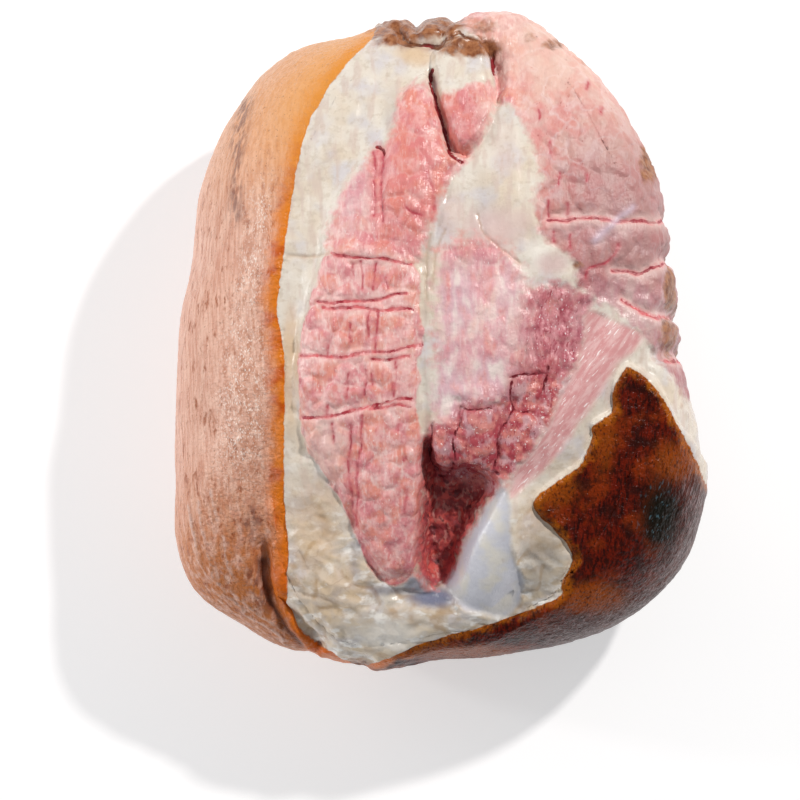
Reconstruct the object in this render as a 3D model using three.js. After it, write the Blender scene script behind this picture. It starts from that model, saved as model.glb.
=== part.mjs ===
// A whole smoked ham, boned and tied, lying on its rind with the cut face up.
// Millimetres, +Z up, +Y along the ham. The origin is under the middle of the ham, on the table.
// The ham is one grown piece, so it is one closed solid: a loaf with rounded sides, a flat spot to rest
// on, and relief on the cut face for the muscles, seams, crevices, string marks and the torn rind.
import * as THREE from "three";

// Driving dimensions

const TOP_HEIGHT = 140; // crown of the cut face before its relief
const WIDEST_HEIGHT = 58; // height at which the sides bulge most
const FOOT_SHARE = 0.55; // flat resting spot, as a share of the outline
const RIND = 3; // thickness of the rind where it is torn or cut

// Outline seen from above: radius at every 15 degrees, from +X towards +Y
const OUTLINE = [
  104, 103, 106, 113, 127, 137, 129, 132, 138, 131, 122, 112,
  114, 119, 132, 155, 156, 152, 143, 144, 149, 146, 131, 111,
];
// How far the shoulder leans in from the outline before the cut face begins, at the same angles
const SHOULDER = [
  18, 18, 20, 22, 24, 22, 16, 28, 46, 51, 52, 49,
  51, 52, 57, 57, 28, 7, 7, 11, 28, 38, 34, 24,
];

// The cut face falls away from its crown by so much at this reach along each axis
const CROWN = { x: 20, y: 25, fallX: 20, fallY: 17.5, reach: 100 };

// Mesh density
const CELLS_X = 56;
const CELLS_Y = 70;
const SIDE_RINGS = 7;
const FACE_SHARE = 0.8; // share of the grid that lies inside the shoulder

// Muscles and pads with a clear edge: outline, rise of the plateau, and width of its sloping edge
const PADS = [
  // long muscle on the left
  {
    rise: 3.5,
    edge: 7,
    outline: [
      [-45, 18], [-52, 1], [-58, -21], [-58, -46], [-53, -61], [-40, -79], [-32, -98], [-25, -110],
      [-17, -113], [-11, -106], [-9, -84], [-9, -55], [-10, -28], [-9, -10], [-12, 12],
    ],
  },
  // upper left muscle
  {
    rise: 3,
    edge: 8,
    outline: [
      [-6, 92], [-19, 77], [-25, 62], [-37, 50], [-44, 35], [-45, 18], [-12, 12], [-6, 21], [2, 46],
      [9, 56], [3, 62], [1, 77],
    ],
  },
  // flap at the far end
  {
    rise: 5,
    edge: 4,
    outline: [
      [-2, 102], [2, 105], [13, 109], [20, 104], [23, 92], [22, 80], [18, 66], [10, 58], [4, 67], [-1, 86],
    ],
  },
  // rind left on the near right corner and along the near edge
  {
    rise: RIND,
    edge: 3,
    outline: [
      [38, -84], [50, -74], [58, -68], [62, -58], [62, -53], [70, -48], [70, -39], [74, -31], [78, -30],
      [88, -36], [97, -51], [109, -62], [140, -80], [140, -170], [-40, -170], [-30, -147], [0, -139],
      [24, -135], [38, -128], [50, -121], [51, -115], [55, -107], [52, -100], [45, -93],
    ],
  },
  // hollow beside the long muscle
  {
    rise: -15,
    edge: 8,
    outline: [
      [-6, -63], [-7, -82], [-8, -106], [-4, -117], [5, -115], [11, -99], [18, -87], [22, -79], [12, -72],
      [3, -73], [-3, -69],
    ],
  },
];

// Soft swellings: centre, half length and half width, turn from +X in degrees, and rise
const SWELLS = [
  { at: [62, 52], half: [52, 40], turn: 70, rise: 7 }, // large round muscle on the right
  { at: [-11, 54], half: [30, 10], turn: 82, rise: 3 }, // right half of the upper left muscle
  { at: [22, -104], half: [27, 12], turn: 70, rise: 9 }, // smooth white pad of gristle
  { at: [44, -108], half: [16, 11], turn: 75, rise: 3 }, // fat beside it
  { at: [2, -61], half: [11, 6], turn: 85, rise: 4 }, // lumps of torn lean
  { at: [15, -59], half: [14, 8], turn: 85, rise: 4.5 },
  { at: [32, -61], half: [14, 8], turn: 65, rise: 4 },
  { at: [16, -43], half: [13, 5], turn: 5, rise: 1.5 },
  { at: [24, -20], half: [26, 16], turn: 80, rise: 2.5 }, // skinned middle muscle
  { at: [60, -42], half: [40, 9], turn: 58, rise: 3 }, // fascia beside the torn rind
  { at: [-46, -118], half: [22, 12], turn: -50, rise: 4 }, // fat at the near left corner
  { at: [-10, -132], half: [30, 7], turn: 0, rise: 3 }, // fat along the near edge
  { at: [-42, 78], half: [34, 10], turn: 60, rise: 2 }, // fat along the left rind
  { at: [-19, 125], half: [9, 8], turn: 10, rise: 3.5 }, // browned knobs at the far end
  { at: [-2, 126], half: [8, 6], turn: -10, rise: 2 },
  { at: [8, 112], half: [13, 5], turn: -10, rise: 3 },
  { at: [28, 122], half: [16, 8], turn: -15, rise: 2 },
];
const SWELL_FALL = 1.5; // how flat the middle of a swelling is

// Creases and crevices: route seen from above, half width and depth
const CREASES = [
  { route: [[-3, 92], [-1, 83], [2, 70], [4, 60], [10, 57]], half: 2.5, depth: 4 }, // left of the flap
  { route: [[22, 103], [23, 94], [22, 82]], half: 3.5, depth: 5 }, // right of the flap
  { route: [[-25, 62], [-24, 56], [-24, 44], [-24, 30]], half: 3, depth: 1.2 }, // between the upper muscles
  { route: [[-45, 18], [-35, 15], [-26, 15], [-12, 11]], half: 2.5, depth: 0.5 }, // string on the long muscle
  { route: [[-50, -3], [-35, -5], [-11, -4]], half: 3.5, depth: 0.5 },
  { route: [[-58, -23], [-46, -25], [-33, -24], [-8, -21]], half: 2.5, depth: 0.5 },
  { route: [[-57, -48], [-47, -49], [-30, -45], [-12, -43]], half: 2.5, depth: 0.5 },
  { route: [[-35, -50], [-35, -73], [-35, -93]], half: 3, depth: 0.8 }, // split along the long muscle
  { route: [[-15, -121], [-6, -122], [3, -119]], half: 4, depth: 3 }, // gap at its near end
  { route: [[8, -46], [13, -46], [20, -48], [29, -48], [39, -47]], half: 2.5, depth: 0.5 }, // torn lumps
  { route: [[8, -46], [8, -52], [5, -60], [5, -65], [3, -71]], half: 2.5, depth: 1 },
  { route: [[29, -46], [28, -50], [23, -56], [23, -65], [24, -73]], half: 2.5, depth: 1 },
  { route: [[-73, -104], [-71, -117], [-63, -129], [-52, -141]], half: 4.5, depth: 5 }, // fold in the rind
  { route: [[-17, 117], [-12, 110], [-1, 109], [2, 116], [8, 124]], half: 2.5, depth: 3 }, // round the knobs
  { route: [[-10, 116], [-10, 126], [-10, 136]], half: 2.5, depth: 2.5 },
  { route: [[43, 29], [59, 30], [73, 29], [84, 30]], half: 2.5, depth: 0.8 }, // string on the right muscle
  { route: [[70, 9], [81, 9], [87, 12]], half: 2.5, depth: 1 },
  { route: [[74, -3], [81, -6], [87, -8]], half: 2.5, depth: 1.5 },
  { route: [[91, 35], [96, 40], [103, 46]], half: 3, depth: 3.5 }, // string over its outer edge
  { route: [[92, 16], [97, 22], [104, 28]], half: 3.5, depth: 4 },
  { route: [[93, -7], [96, -6], [104, -2]], half: 3.5, depth: 4 },
  { route: [[90, -25], [97, -22], [104, -17]], half: 3.5, depth: 4 },
];
const UPPER_FROM = 0.5; // share of the widest height at which the relief begins

// Helpers

const smoothstep = (low, high, x) => THREE.MathUtils.smoothstep(x, low, high);

// Smooth curve from b to c
function catmull(a, b, c, d, t) {
  const bend = 2 * a - 5 * b + 4 * c - d;
  const twist = 3 * (b - c) + d - a;
  return b + 0.5 * t * (c - a + t * (bend + t * twist));
}

// Value of a list given at equal steps round the full turn
function around(list, angle) {
  const turn = (angle / (2 * Math.PI)) * list.length;
  const first = Math.floor(turn);
  const near = [-1, 0, 1, 2].map((k) => list[(first + k + 2 * list.length) % list.length]);
  return catmull(...near, turn - first);
}

// Points along a smooth curve through a route, closed or open
function sampled(route, closed, perSpan = 6) {
  const count = route.length;
  const spans = closed ? count : count - 1;
  const knot = (k) => (closed ? route[(k + count) % count] : route[THREE.MathUtils.clamp(k, 0, count - 1)]);
  const points = [];
  for (let n = 0; n <= spans * perSpan; n++) {
    const span = Math.floor(n / perSpan);
    const near = [-1, 0, 1, 2].map((k) => knot(span + k));
    const t = n / perSpan - span;
    const [x, y] = [0, 1].map((axis) => catmull(...near.map((p) => p[axis]), t));
    points.push(new THREE.Vector2(x, y));
  }
  return points;
}

function distanceToSegment(x, y, a, b) {
  const dx = b.x - a.x;
  const dy = b.y - a.y;
  const along = ((x - a.x) * dx + (y - a.y) * dy) / (dx * dx + dy * dy || 1);
  const t = THREE.MathUtils.clamp(along, 0, 1);
  return Math.hypot(x - a.x - t * dx, y - a.y - t * dy);
}

function distanceToLine(x, y, points) {
  let nearest = Infinity;
  for (let i = 1; i < points.length; i++) {
    nearest = Math.min(nearest, distanceToSegment(x, y, points[i - 1], points[i]));
  }
  return nearest;
}

// Distance to a closed outline, positive inside it
function depthInside(x, y, points) {
  let inside = false;
  for (let i = 1; i < points.length; i++) {
    const a = points[i - 1];
    const b = points[i];
    const spans = a.y > y !== b.y > y;
    if (spans && x < ((b.x - a.x) * (y - a.y)) / (b.y - a.y) + a.x) inside = !inside;
  }
  const distance = distanceToLine(x, y, points);
  return inside ? distance : -distance;
}

// Bare loaf

function crownHeight(x, y) {
  const across = CROWN.fallX * ((x - CROWN.x) / CROWN.reach) ** 2;
  const along = CROWN.fallY * ((y - CROWN.y) / CROWN.reach) ** 2;
  return TOP_HEIGHT - across - along;
}

// A point of the upper half: share runs from 0 at the crown to 1 at the widest line
function upperPoint(angle, share) {
  const outline = around(OUTLINE, angle);
  const lean = around(SHOULDER, angle);
  const rim = outline - lean;
  let radius = (rim * share) / FACE_SHARE;
  let lift = 1;
  if (share > FACE_SHARE) {
    const sweep = (((1 - share) / (1 - FACE_SHARE)) * Math.PI) / 2;
    radius = outline - lean * (1 - Math.cos(sweep));
    lift = Math.sin(sweep);
  }
  const x = radius * Math.cos(angle);
  const y = radius * Math.sin(angle);
  const inner = Math.min(1, rim / Math.max(radius, 1));
  const top = crownHeight(x * inner, y * inner);
  return new THREE.Vector3(x, y, WIDEST_HEIGHT + (top - WIDEST_HEIGHT) * lift);
}

// A point of the lower half: share runs from 0 at the widest line to 1 at the edge of the flat foot
function lowerPoint(angle, share) {
  const outline = around(OUTLINE, angle);
  const foot = FOOT_SHARE * outline;
  const sweep = ((1 - share) * Math.PI) / 2;
  const radius = foot + (outline - foot) * Math.sin(sweep);
  const z = WIDEST_HEIGHT * (1 - Math.cos(sweep));
  return new THREE.Vector3(radius * Math.cos(angle), radius * Math.sin(angle), z);
}

// Relief, as a distance along the bare loaf's outward normal

const pads = PADS.map((pad) => ({ ...pad, points: sampled(pad.outline, true) }));
const creases = CREASES.map((crease) => ({ ...crease, points: sampled(crease.route, false) }));

const padRelief = (x, y) =>
  pads.reduce((sum, p) => sum + p.rise * smoothstep(-p.edge / 2, p.edge / 2, depthInside(x, y, p.points)), 0);

const creaseRelief = (x, y) =>
  creases.reduce((sum, c) => sum - c.depth * Math.exp(-((distanceToLine(x, y, c.points) / c.half) ** 2)), 0);

function swellRelief(x, y) {
  let sum = 0;
  for (const { at, half, turn, rise } of SWELLS) {
    const angle = THREE.MathUtils.degToRad(turn);
    const dx = x - at[0];
    const dy = y - at[1];
    const along = (dx * Math.cos(angle) + dy * Math.sin(angle)) / half[0];
    const across = (dy * Math.cos(angle) - dx * Math.sin(angle)) / half[1];
    sum += rise * Math.exp(-((along * along + across * across) ** SWELL_FALL));
  }
  return sum;
}

function relief({ x, y, z }) {
  const upper = smoothstep(UPPER_FROM * WIDEST_HEIGHT, WIDEST_HEIGHT, z);
  return upper * (padRelief(x, y) + swellRelief(x, y) + creaseRelief(x, y));
}

// Solid

// A grid over the whole upper half, rings down the lower sides and a fan over the flat foot.
// The square grid is spread over a disc, so its cells stay even in size.
function loafGeometry() {
  const points = [];
  const triangles = [];
  const columns = CELLS_X + 1;
  for (let j = 0; j <= CELLS_Y; j++) {
    for (let i = 0; i <= CELLS_X; i++) {
      const s = (2 * i) / CELLS_X - 1;
      const t = (2 * j) / CELLS_Y - 1;
      const u = s * Math.sqrt(1 - (t * t) / 2);
      const v = t * Math.sqrt(1 - (s * s) / 2);
      points.push(upperPoint(Math.atan2(v, u), Math.min(1, Math.hypot(u, v))));
    }
  }
  for (let j = 0; j < CELLS_Y; j++) {
    for (let i = 0; i < CELLS_X; i++) {
      const a = j * columns + i;
      const [b, c, d] = [a + 1, a + columns + 1, a + columns];
      // the diagonal points at the grid's nearest corner, where cells are flattest
      const sameSide = i < CELLS_X / 2 === j < CELLS_Y / 2;
      triangles.push(...(sameSide ? [a, b, c, a, c, d] : [a, b, d, b, c, d]));
    }
  }
  let ring = [];
  for (let i = 0; i < CELLS_X; i++) ring.push(i);
  for (let j = 0; j < CELLS_Y; j++) ring.push(j * columns + CELLS_X);
  for (let i = CELLS_X; i > 0; i--) ring.push(CELLS_Y * columns + i);
  for (let j = CELLS_Y; j > 0; j--) ring.push(j * columns);
  const angles = ring.map((k) => Math.atan2(points[k].y, points[k].x));
  for (let row = 1; row <= SIDE_RINGS; row++) {
    const below = angles.map((angle) => points.push(lowerPoint(angle, row / SIDE_RINGS)) - 1);
    ring.forEach((k, n) => {
      const next = (n + 1) % ring.length;
      triangles.push(k, below[n], below[next], k, below[next], ring[next]);
    });
    ring = below;
  }
  const middle = points.push(new THREE.Vector3(0, 0, 0)) - 1;
  ring.forEach((k, n) => triangles.push(k, middle, ring[(n + 1) % ring.length]));
  return new THREE.BufferGeometry().setFromPoints(points).setIndex(triangles);
}

// Moves every point of the bare loaf along its normal by the relief there
function withRelief(geometry) {
  geometry.computeVertexNormals();
  const position = geometry.getAttribute("position");
  const normal = geometry.getAttribute("normal");
  const point = new THREE.Vector3();
  const outward = new THREE.Vector3();
  for (let i = 0; i < position.count; i++) {
    point.fromBufferAttribute(position, i);
    outward.fromBufferAttribute(normal, i);
    point.addScaledVector(outward, relief(point));
    position.setXYZ(i, point.x, point.y, point.z);
  }
  return geometry;
}

// Puts the middle of the ham's footprint over the origin
function centred(geometry) {
  geometry.computeBoundingBox();
  const { min, max } = geometry.boundingBox;
  geometry.translate(-(min.x + max.x) / 2, -(min.y + max.y) / 2, -min.z);
  geometry.computeVertexNormals();
  return geometry;
}

const smokedMeat = new THREE.MeshStandardMaterial({ color: 0xd68f78, roughness: 0.5, metalness: 0 });

const ham = new THREE.Mesh(centred(withRelief(loafGeometry())), smokedMeat);
ham.name = "ham";

const part = new THREE.Group();
part.add(ham);

export default part;
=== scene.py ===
"""A smoked ham on a pale floor: the fine surface of the cut face and rind over the solid's own form."""

import math

import bpy
import numpy as np
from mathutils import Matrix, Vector, noise


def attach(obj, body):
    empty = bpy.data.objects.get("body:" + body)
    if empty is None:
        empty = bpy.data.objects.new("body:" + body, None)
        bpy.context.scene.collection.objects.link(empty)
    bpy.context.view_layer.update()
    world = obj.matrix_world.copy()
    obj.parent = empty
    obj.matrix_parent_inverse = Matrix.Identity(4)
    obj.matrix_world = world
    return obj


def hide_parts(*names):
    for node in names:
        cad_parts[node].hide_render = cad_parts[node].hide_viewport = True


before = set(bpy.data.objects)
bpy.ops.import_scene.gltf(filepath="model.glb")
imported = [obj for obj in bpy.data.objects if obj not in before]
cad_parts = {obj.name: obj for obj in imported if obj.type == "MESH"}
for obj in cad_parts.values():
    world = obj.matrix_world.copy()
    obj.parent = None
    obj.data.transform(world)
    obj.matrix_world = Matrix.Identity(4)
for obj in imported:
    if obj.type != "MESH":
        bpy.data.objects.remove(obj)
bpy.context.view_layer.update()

MM = 0.001

# Form of the solid, in millimetres

TOP_HEIGHT = 140
WIDEST_HEIGHT = 58
FOOT_SHARE = 0.55
RIND = 3
OUTLINE = [
    104, 103, 106, 113, 127, 137, 129, 132, 138, 131, 122, 112,
    114, 119, 132, 155, 156, 152, 143, 144, 149, 146, 131, 111,
]
SHOULDER = [
    18, 18, 20, 22, 24, 22, 16, 28, 46, 51, 52, 49,
    51, 52, 57, 57, 28, 7, 7, 11, 28, 38, 34, 24,
]
CROWN = {"x": 20, "y": 25, "fall_x": 20, "fall_y": 17.5}
CROWN_REACH = 100
FACE_SHARE = 0.8

# Finer mesh than the solid's, thinned out where it is smooth
CELLS_X = 380
CELLS_Y = 520
SIDE_RINGS = 24
MOST_TRIANGLES = 195000

# Muscles and pads with a clear edge: rise of the plateau, width of its sloping edge and outline
PADS = [
    (3.5, 7, [(-45, 18), (-52, 1), (-58, -21), (-58, -46), (-53, -61), (-40, -79), (-32, -98), (-25, -110),
              (-17, -113), (-11, -106), (-9, -84), (-9, -55), (-10, -28), (-9, -10), (-12, 12)]),
    (3, 8, [(-6, 92), (-19, 77), (-25, 62), (-37, 50), (-44, 35), (-45, 18), (-12, 12), (-6, 21), (2, 46),
            (9, 56), (3, 62), (1, 77)]),
    (5, 4, [(-2, 102), (2, 105), (13, 109), (20, 104), (23, 92), (22, 80), (18, 66), (10, 58), (4, 67),
            (-1, 86)]),
    (RIND, 3, [(38, -84), (50, -74), (58, -68), (62, -58), (62, -53), (70, -48), (70, -39), (74, -31),
               (78, -30), (88, -36), (97, -51), (109, -62), (140, -80), (140, -170), (-40, -170),
               (-30, -147), (0, -139),
               (24, -135), (38, -128), (50, -121), (51, -115), (55, -107), (52, -100), (45, -93)]),
    (-15, 8, [(-6, -63), (-7, -82), (-8, -106), (-4, -117), (5, -115), (11, -99), (18, -87), (22, -79),
              (12, -72), (3, -73), (-3, -69)]),
]
# Soft swellings: centre, half length and half width, turn from +X in degrees, and rise
SWELLS = [
    ((62, 52), (52, 40), 70, 7),
    ((-11, 54), (30, 10), 82, 3),
    ((22, -104), (27, 12), 70, 9),
    ((44, -108), (16, 11), 75, 3),
    ((2, -61), (11, 6), 85, 4),
    ((15, -59), (14, 8), 85, 4.5),
    ((32, -61), (14, 8), 65, 4),
    ((16, -43), (13, 5), 5, 1.5),
    ((24, -20), (26, 16), 80, 2.5),
    ((60, -42), (40, 9), 58, 3),
    ((-46, -118), (22, 12), -50, 4),
    ((-10, -132), (30, 7), 0, 3),
    ((-42, 78), (34, 10), 60, 2),
    ((-19, 125), (9, 8), 10, 3.5),
    ((-2, 126), (8, 6), -10, 2),
    ((8, 112), (13, 5), -10, 3),
    ((28, 122), (16, 8), -15, 2),
]
SWELL_FALL = 1.5
# Creases and crevices: half width, depth and route
CREASES = [
    (2.5, 4, [(-3, 92), (-1, 83), (2, 70), (4, 60), (10, 57)]),
    (3.5, 5, [(22, 103), (23, 94), (22, 82)]),
    (3, 1.2, [(-25, 62), (-24, 56), (-24, 44), (-24, 30)]),
    (2.5, 0.5, [(-45, 18), (-35, 15), (-26, 15), (-12, 11)]),
    (3.5, 0.5, [(-50, -3), (-35, -5), (-11, -4)]),
    (2.5, 0.5, [(-58, -23), (-46, -25), (-33, -24), (-8, -21)]),
    (2.5, 0.5, [(-57, -48), (-47, -49), (-30, -45), (-12, -43)]),
    (3, 0.8, [(-35, -50), (-35, -73), (-35, -93)]),
    (4, 3, [(-15, -121), (-6, -122), (3, -119)]),
    (2.5, 0.5, [(8, -46), (13, -46), (20, -48), (29, -48), (39, -47)]),
    (2.5, 1, [(8, -46), (8, -52), (5, -60), (5, -65), (3, -71)]),
    (2.5, 1, [(29, -46), (28, -50), (23, -56), (23, -65), (24, -73)]),
    (4.5, 5, [(-73, -104), (-71, -117), (-63, -129), (-52, -141)]),
    (2.5, 3, [(-17, 117), (-12, 110), (-1, 109), (2, 116), (8, 124)]),
    (2.5, 2.5, [(-10, 116), (-10, 126), (-10, 136)]),
    (2.5, 0.8, [(43, 29), (59, 30), (73, 29), (84, 30)]),
    (3, 3.5, [(91, 35), (96, 40), (103, 46)]),
    (2.5, 1, [(70, 9), (81, 9), (87, 12)]),
    (3.5, 4, [(92, 16), (97, 22), (104, 28)]),
    (2.5, 1.5, [(74, -3), (81, -6), (87, -8)]),
    (3.5, 4, [(93, -7), (96, -6), (104, -2)]),
    (3.5, 4, [(90, -25), (97, -22), (104, -17)]),
]
UPPER_FROM = 0.5

# Camera: the photograph's viewing angle, in its frame of 800 by 800 pixels

PHOTO_SIDE = 800
CAMERA_ELEVATION = 80
CAMERA_DISTANCE = 1000
LENS_PIXELS = 2300
SENSOR = 36
AIM = (0, 0, 75)
AIM_PIXEL = (440, 339)


# Helpers

def smoothstep(low, high, x):
    """0 at low and 1 at high, smooth between and flat outside; low may be the greater."""
    t = np.clip((x - low) / (high - low), 0, 1)
    return t * t * (3 - 2 * t)


def catmull(a, b, c, d, t):
    """Smooth curve from b to c."""
    return b + 0.5 * t * (c - a + t * (2 * a - 5 * b + 4 * c - d + t * (3 * (b - c) + d - a)))


def around(values, angle):
    """Value of a list given at equal steps round the full turn."""
    values = np.asarray(values, float)
    turn = angle / (2 * math.pi) * len(values)
    first = np.floor(turn).astype(int)
    a, b, c, d = (values[(first + k) % len(values)] for k in (-1, 0, 1, 2))
    return catmull(a, b, c, d, turn - first)


def sampled(route, closed=False, per_span=6):
    """Points along a smooth curve through a route."""
    knots = np.asarray(route, float)
    count = len(knots)
    spans = count if closed else count - 1
    points = []
    for span in range(spans):
        if closed:
            a, b, c, d = (knots[(span + k) % count] for k in (-1, 0, 1, 2))
        else:
            a, b, c, d = (knots[min(max(span + k, 0), count - 1)] for k in (-1, 0, 1, 2))
        points += [catmull(a, b, c, d, t) for t in np.arange(per_span) / per_span]
    points.append(knots[0] if closed else knots[-1])
    return np.array(points)


def distance_to_line(x, y, points):
    nearest = np.full(x.shape, np.inf)
    for a, b in zip(points[:-1], points[1:]):
        step = b - a
        along = ((x - a[0]) * step[0] + (y - a[1]) * step[1]) / max(step @ step, 1e-9)
        along = np.clip(along, 0, 1)
        nearest = np.minimum(nearest, np.hypot(x - a[0] - along * step[0], y - a[1] - along * step[1]))
    return nearest


def depth_inside(x, y, points):
    """Distance to a closed outline, positive inside it."""
    inside = np.zeros(x.shape, bool)
    for a, b in zip(points[:-1], points[1:]):
        if a[1] == b[1]:
            continue
        spans = (a[1] > y) != (b[1] > y)
        inside ^= spans & (x < (b[0] - a[0]) * (y - a[1]) / (b[1] - a[1]) + a[0])
    distance = distance_to_line(x, y, points)
    return np.where(inside, distance, -distance)


# Bare loaf

def crown_height(x, y):
    across = CROWN["fall_x"] * ((x - CROWN["x"]) / CROWN_REACH) ** 2
    along = CROWN["fall_y"] * ((y - CROWN["y"]) / CROWN_REACH) ** 2
    return TOP_HEIGHT - across - along


def upper_points(angle, share):
    outline = around(OUTLINE, angle)
    lean = around(SHOULDER, angle)
    rim = outline - lean
    sweep = np.clip((1 - share) / (1 - FACE_SHARE), 0, 1) * math.pi / 2
    on_shoulder = share > FACE_SHARE
    radius = np.where(on_shoulder, outline - lean * (1 - np.cos(sweep)), rim * share / FACE_SHARE)
    lift = np.where(on_shoulder, np.sin(sweep), 1)
    x, y = radius * np.cos(angle), radius * np.sin(angle)
    inner = np.minimum(1, rim / np.maximum(radius, 1))
    z = WIDEST_HEIGHT + (crown_height(x * inner, y * inner) - WIDEST_HEIGHT) * lift
    return np.stack([x, y, z], axis=-1)


def lower_points(angle, share):
    outline = around(OUTLINE, angle)
    foot = FOOT_SHARE * outline
    sweep = (1 - share) * math.pi / 2
    radius = foot + (outline - foot) * math.sin(sweep)
    z = np.full(angle.shape, WIDEST_HEIGHT * (1 - math.cos(sweep)))
    return np.stack([radius * np.cos(angle), radius * np.sin(angle), z], axis=-1)


def loaf():
    """Points and faces of the bare loaf: a grid over the upper half, rings down the sides, a fan below."""
    s, t = np.meshgrid(np.linspace(-1, 1, CELLS_X + 1), np.linspace(-1, 1, CELLS_Y + 1))
    u, v = s * np.sqrt(1 - t * t / 2), t * np.sqrt(1 - s * s / 2)
    points = [upper_points(np.arctan2(v, u), np.minimum(1, np.hypot(u, v))).reshape(-1, 3)]
    index = np.arange((CELLS_X + 1) * (CELLS_Y + 1)).reshape(CELLS_Y + 1, CELLS_X + 1)
    faces = np.stack([index[:-1, :-1], index[:-1, 1:], index[1:, 1:], index[1:, :-1]], axis=-1)
    faces = faces.reshape(-1, 4).tolist()
    ring = np.concatenate([index[0, :-1], index[:-1, -1], index[-1, :0:-1], index[:0:-1, 0]])
    rim = points[0][ring]
    angles = np.arctan2(rim[:, 1], rim[:, 0])
    total = index.size
    for row in range(1, SIDE_RINGS + 1):
        points.append(lower_points(angles, row / SIDE_RINGS))
        below = total + np.arange(len(ring))
        total += len(ring)
        faces += np.stack([ring, below, np.roll(below, -1), np.roll(ring, -1)], axis=-1).tolist()
        ring = below
    points.append(np.zeros((1, 3)))
    faces += [(int(a), total, int(b)) for a, b in zip(ring, np.roll(ring, -1))]
    return np.concatenate(points), faces


def normals_of(points, faces):
    quads = np.array([f for f in faces if len(f) == 4])
    a, b, c, d = (points[quads[:, k]] for k in range(4))
    face_normal = np.cross(c - a, d - b)
    normal = np.zeros_like(points)
    for k in range(4):
        np.add.at(normal, quads[:, k], face_normal)
    normal[-1] = (0, 0, -1)
    return normal / np.linalg.norm(normal, axis=1, keepdims=True)


def solid_relief(points):
    """Relief that the solid has too, along the bare loaf's normal."""
    x, y, z = points.T
    rise = np.zeros(len(points))
    for height, edge, outline in PADS:
        inside = depth_inside(x, y, sampled(outline, closed=True))
        rise += height * smoothstep(-edge / 2, edge / 2, inside)
    for at, half, turn, height in SWELLS:
        cos, sin = math.cos(math.radians(turn)), math.sin(math.radians(turn))
        along = ((x - at[0]) * cos + (y - at[1]) * sin) / half[0]
        across = ((y - at[1]) * cos - (x - at[0]) * sin) / half[1]
        rise += height * np.exp(-((along**2 + across**2) ** SWELL_FALL))
    for half, depth, route in CREASES:
        rise -= depth * np.exp(-((distance_to_line(x, y, sampled(route)) / half) ** 2))
    return rise * smoothstep(UPPER_FROM * WIDEST_HEIGHT, WIDEST_HEIGHT, z)


def middle_of(points):
    """Point under the middle of the outline, at the level of the foot."""
    low, high = points.min(0), points.max(0)
    return np.array([(low[0] + high[0]) / 2, (low[1] + high[1]) / 2, low[2]])


# Camera

def make_camera():
    elevation = math.radians(CAMERA_ELEVATION)
    back = Vector((0, -math.cos(elevation), math.sin(elevation)))
    right = Vector((1, 0, 0))
    up = Vector((0, math.sin(elevation), math.cos(elevation)))
    per_pixel = CAMERA_DISTANCE / LENS_PIXELS
    aside = right * (PHOTO_SIDE / 2 - AIM_PIXEL[0]) + up * (AIM_PIXEL[1] - PHOTO_SIDE / 2)
    data = bpy.data.cameras.new("camera")
    data.sensor_width = SENSOR
    data.lens = SENSOR * LENS_PIXELS / PHOTO_SIDE
    camera = bpy.data.objects.new("camera", data)
    camera.location = (Vector(AIM) + back * CAMERA_DISTANCE + aside * per_pixel) * MM
    camera.rotation_mode = "QUATERNION"
    camera.rotation_quaternion = (-back).to_track_quat("-Z", "Y")
    bpy.context.scene.collection.objects.link(camera)
    bpy.context.scene.camera = camera
    bpy.context.view_layer.update()
    return camera


def photo_pixels(points, camera):
    """Where points, in millimetres, fall in the photograph's frame."""
    matrix = np.array(camera.matrix_world.inverted())
    seen = points * MM @ matrix[:3, :3].T + matrix[:3, 3]
    scale = LENS_PIXELS / -seen[:, 2]
    return PHOTO_SIDE / 2 + seen[:, 0] * scale, PHOTO_SIDE / 2 - seen[:, 1] * scale


# Marks on the surface, read from the photograph in pixels of its frame

# Outline of the cut face, with the rind outside it; the far and right sides lie beyond the ham's edge
CUT_FACE = [
    (374, 35), (349, 62), (331, 86), (307, 129), (293, 193), (284, 253), (277, 309), (283, 345),
    (285, 399), (284, 488), (289, 550), (288, 585), (299, 625), (331, 648), (357, 663), (384, 659),
    (415, 645), (441, 637), (470, 629), (498, 620), (533, 609), (561, 596), (564, 581), (573, 561),
    (568, 543), (551, 526), (533, 503), (563, 478), (582, 464), (592, 439), (592, 427), (611, 414),
    (613, 392), (623, 371), (631, 368), (654, 386), (676, 423), (696, 461), (715, 485), (780, 420),
    (760, 150), (640, -20), (480, -40), (390, -20),
]
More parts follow.
